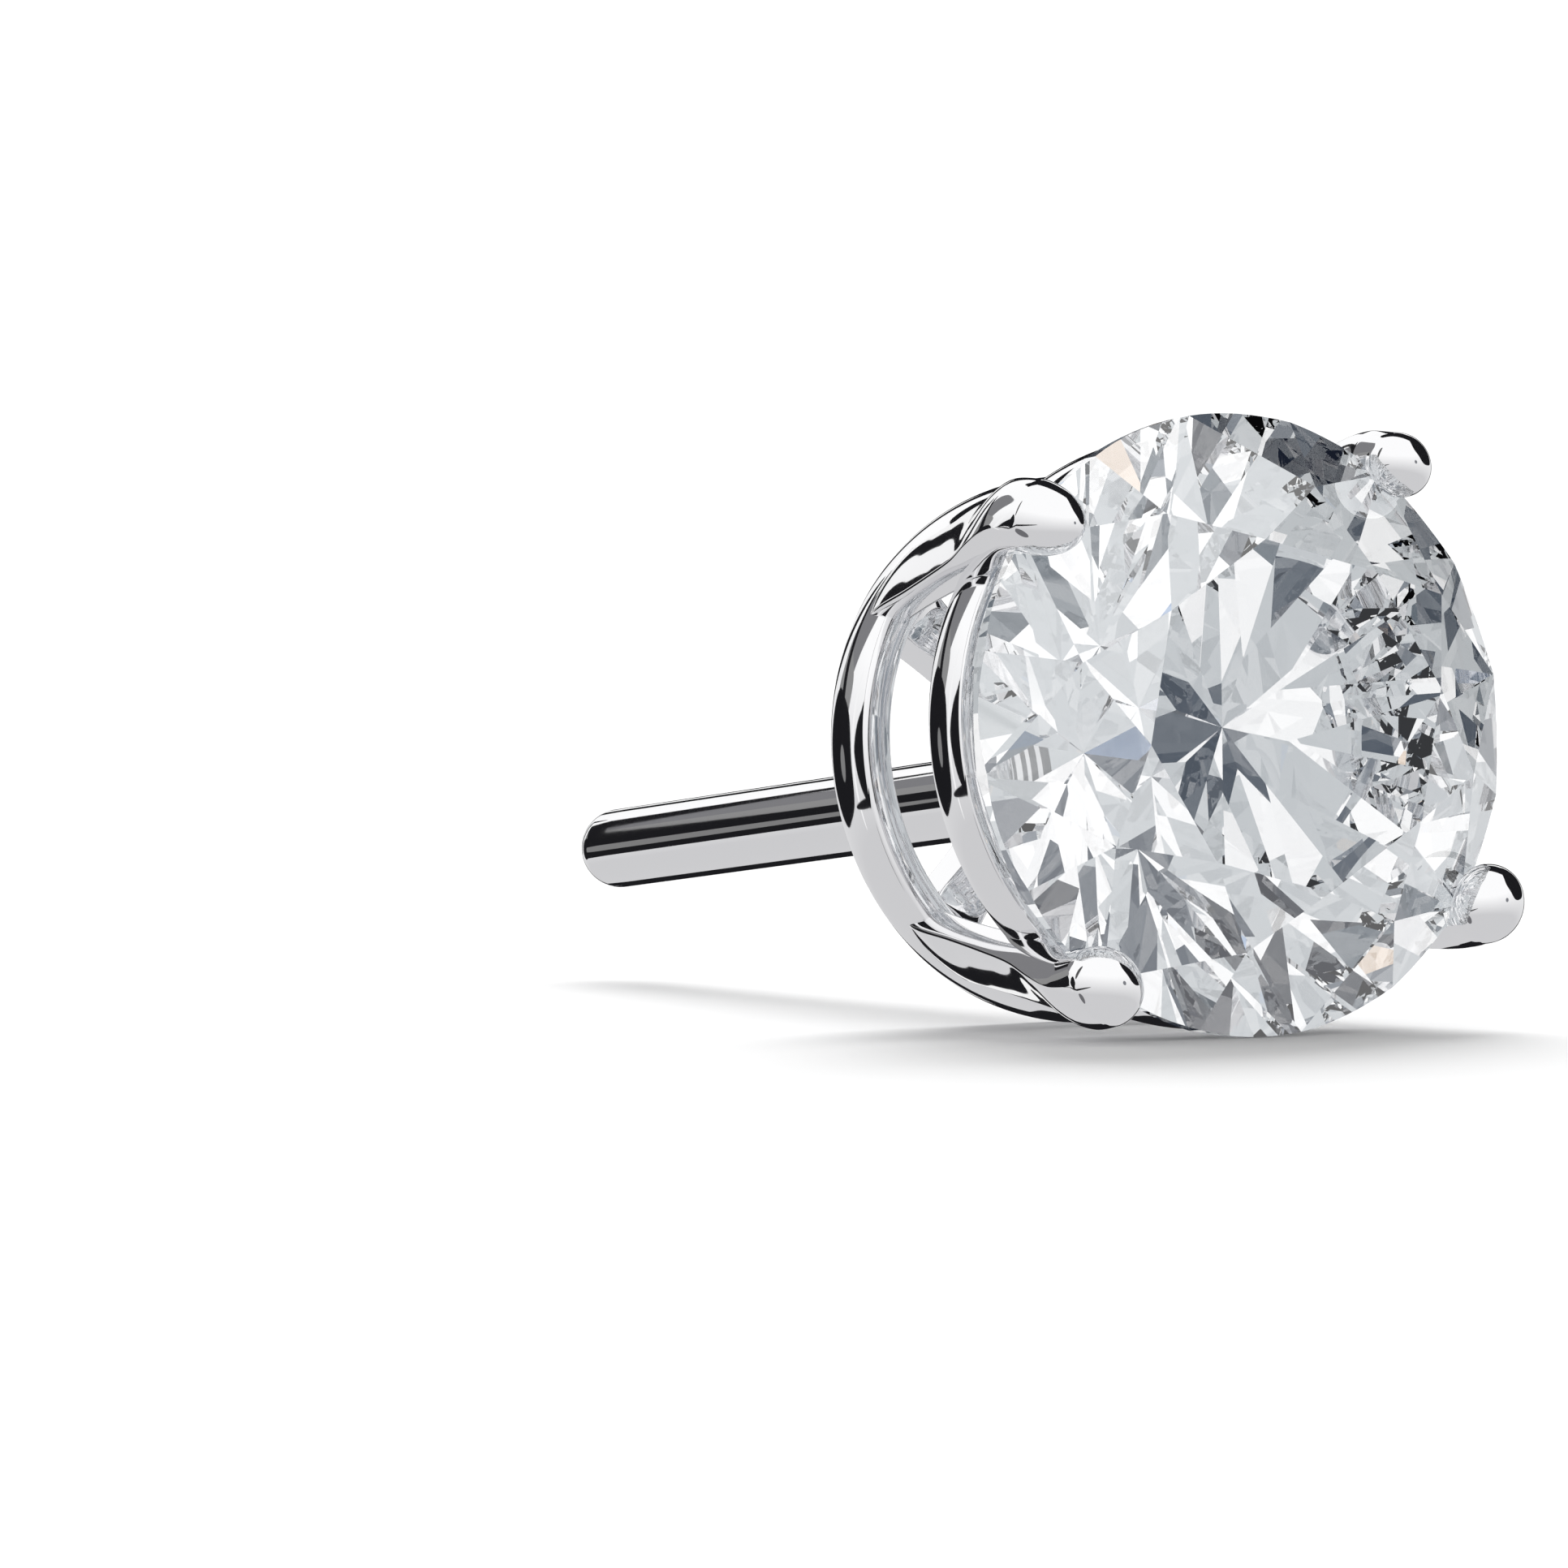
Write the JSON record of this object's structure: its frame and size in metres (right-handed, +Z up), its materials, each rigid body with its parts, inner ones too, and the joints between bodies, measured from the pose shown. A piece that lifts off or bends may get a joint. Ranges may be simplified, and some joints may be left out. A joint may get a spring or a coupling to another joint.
{
  "type": "stud earring",
  "caption": "Stud earring with a clear round brilliant held by rounded claws in an open basket of rails, on a straight ear post.",
  "frame": {"origin": "on the ground, below the middle of the bounding box of the earring as it lies", "axes": "-Y is the way the table of the stone faces, +Y runs along the ground to the end of the post, +Z is up"},
  "size_m": [0.0064, 0.0144, 0.0065],
  "materials": {
    "clear_stone": "polished flat facets",
    "white_metal": "mirror polish"
  },
  "bodies": {
    "root": {"stone": "clear_stone", "setting": "white_metal"}
  },
  "joints": []
}
